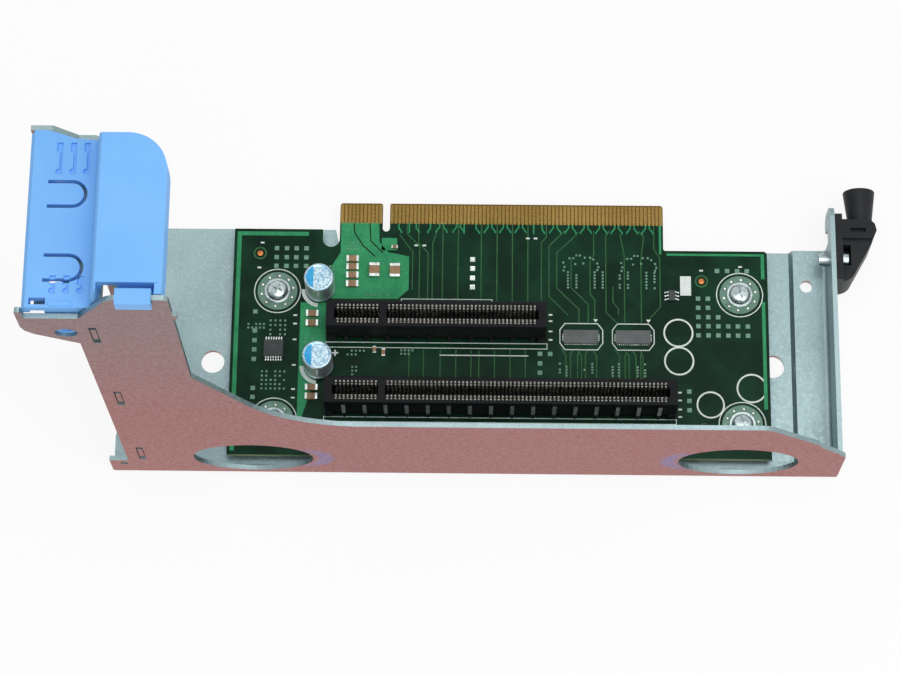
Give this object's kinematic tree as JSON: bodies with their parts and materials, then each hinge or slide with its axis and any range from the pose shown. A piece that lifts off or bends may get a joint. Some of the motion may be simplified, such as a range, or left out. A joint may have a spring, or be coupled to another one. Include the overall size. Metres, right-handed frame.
{
  "type": "riser cage bracket",
  "caption": "Folded steel cage that holds a riser board with two keyed card slots, a hinged card latch over bracket openings and a moulded guide funnel.",
  "frame": {"origin": "midway between the four board screws, on the underside of the base plate", "axes": "+X along the card slots towards the guide end, +Y towards the board's gold edge, +Z away from the base plate"},
  "size_m": [0.2019, 0.076, 0.1334],
  "materials": {
    "zinc_sheet": "zinc-plated steel sheet, satin",
    "rivet_steel": "plated steel, satin",
    "screw_steel": "bright zinc plate",
    "blue_plastic": "moulded, fine matt texture",
    "black_plastic": "glass-filled moulding, satin",
    "board_laminate": "green solder mask over glass-epoxy laminate",
    "gold_plate": "hard gold plate",
    "contact_metal": "plated phosphor bronze",
    "can_aluminium": "drawn can, printed top",
    "chip_resin": "moulded epoxy, matt",
    "solder": "tin plate",
    "tan_ceramic": "fired ceramic, matt"
  },
  "bodies": {
    "cage": {"cage": "zinc_sheet", "slot_wall": "zinc_sheet", "wall_rivets": "rivet_steel", "circuit_board": "board_laminate", "standoffs": "rivet_steel", "board_screws": "screw_steel", "edge_fingers": "gold_plate", "long_slot_housing": "black_plastic", "long_slot_contacts": "contact_metal", "short_slot_housing": "black_plastic", "short_slot_contacts": "contact_metal", "round_capacitors": "can_aluminium", "capacitor_seals": "black_plastic", "switch_chips": "chip_resin", "switch_chip_terminals": "solder", "logic_chip": "chip_resin", "logic_chip_leads": "solder", "timer_chip": "chip_resin", "timer_chip_leads": "solder", "chip_capacitors": "tan_ceramic", "guide_block": "black_plastic", "guide_screw": "screw_steel"},
    "latch": {"latch": "blue_plastic"}
  },
  "joints": [
    {"name": "latch_hinge", "type": "hinge", "parent": "cage", "child": "latch", "pos_m": [-0.0975, -0.0078, 0.1101], "axis": [0, -1, 0], "range_deg": [0, 100]}
  ]
}
